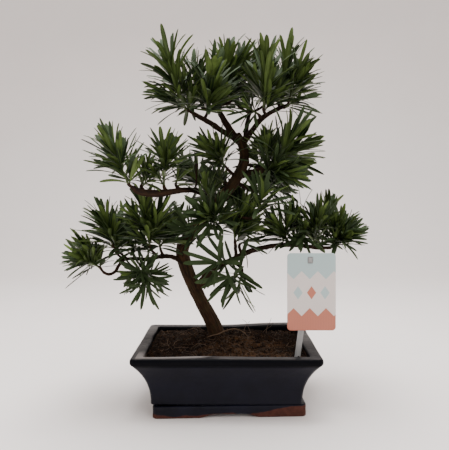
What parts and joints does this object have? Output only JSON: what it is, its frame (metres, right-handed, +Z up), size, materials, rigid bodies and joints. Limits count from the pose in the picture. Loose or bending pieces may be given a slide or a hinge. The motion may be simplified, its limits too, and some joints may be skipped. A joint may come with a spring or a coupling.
{
  "type": "buddhist pine bonsai in a pot",
  "caption": "Small trained tree with a curved trunk and strap-leaved sprays, growing in a flared rectangular glazed pot on a drip tray, with a plain plant label.",
  "frame": {"origin": "middle of the footprint of the whole plant, on the surface that the tray stands on", "axes": "+Z up, -Y towards the viewer, with the pot's long sides along X and the label on the front right"},
  "size_m": [0.3676, 0.2032, 0.4492],
  "materials": {
    "pot_glaze": "satin",
    "tray_glaze": "satin",
    "soil": "matte",
    "bark": "matte",
    "leaf": "satin",
    "label_card": "satin",
    "label_stake": "satin"
  },
  "bodies": {
    "root": {"drip_tray": "tray_glaze", "label_card": "label_card", "label_stake": "label_stake", "pot": "pot_glaze", "soil": "soil", "spray_back_left": "leaf", "spray_back_low": "leaf", "spray_back_middle": "leaf", "spray_back_right": "leaf", "spray_centre_front": "leaf", "spray_centre_left_high": "leaf", "spray_centre_left_mid": "leaf", "spray_centre_low": "leaf", "spray_centre_low_left": "leaf", "spray_centre_right_front": "leaf", "spray_centre_upright": "leaf", "spray_crown_back_far": "leaf", "spray_crown_back_left": "leaf", "spray_crown_back_middle": "leaf", "spray_crown_back_right": "leaf", "spray_crown_left_front": "leaf", "spray_crown_left_high": "leaf", "spray_crown_left_inner": "leaf", "spray_crown_left_low": "leaf", "spray_crown_middle_back": "leaf", "spray_crown_middle_front": "leaf", "spray_crown_middle_high": "leaf", "spray_crown_right_end": "leaf", "spray_crown_right_front": "leaf", "spray_crown_right_high": "leaf", "spray_crown_right_low": "leaf", "spray_crown_right_under": "leaf", "spray_hanging_right": "leaf", "spray_low_left_end": "leaf", "spray_low_left_fork": "leaf", "spray_low_left_hanging": "leaf", "spray_low_left_high": "leaf", "spray_low_left_inner": "leaf", "spray_low_left_small": "leaf", "spray_low_left_upright": "leaf", "spray_low_right_back": "leaf", "spray_low_right_end": "leaf", "spray_low_right_fork": "leaf", "spray_low_right_front": "leaf", "spray_low_right_high": "leaf", "spray_low_right_middle": "leaf", "spray_low_right_near": "leaf", "spray_mid_right_back": "leaf", "spray_mid_right_front": "leaf", "spray_mid_right_low": "leaf", "spray_mid_right_side": "leaf", "spray_mid_right_upright": "leaf", "spray_small_tuft": "leaf", "spray_trunk_shoot": "leaf", "spray_upper_left_end": "leaf", "spray_upper_left_high": "leaf", "spray_upper_left_inner": "leaf", "spray_upper_left_side": "leaf", "trunk_and_branches": "bark"}
  },
  "joints": []
}
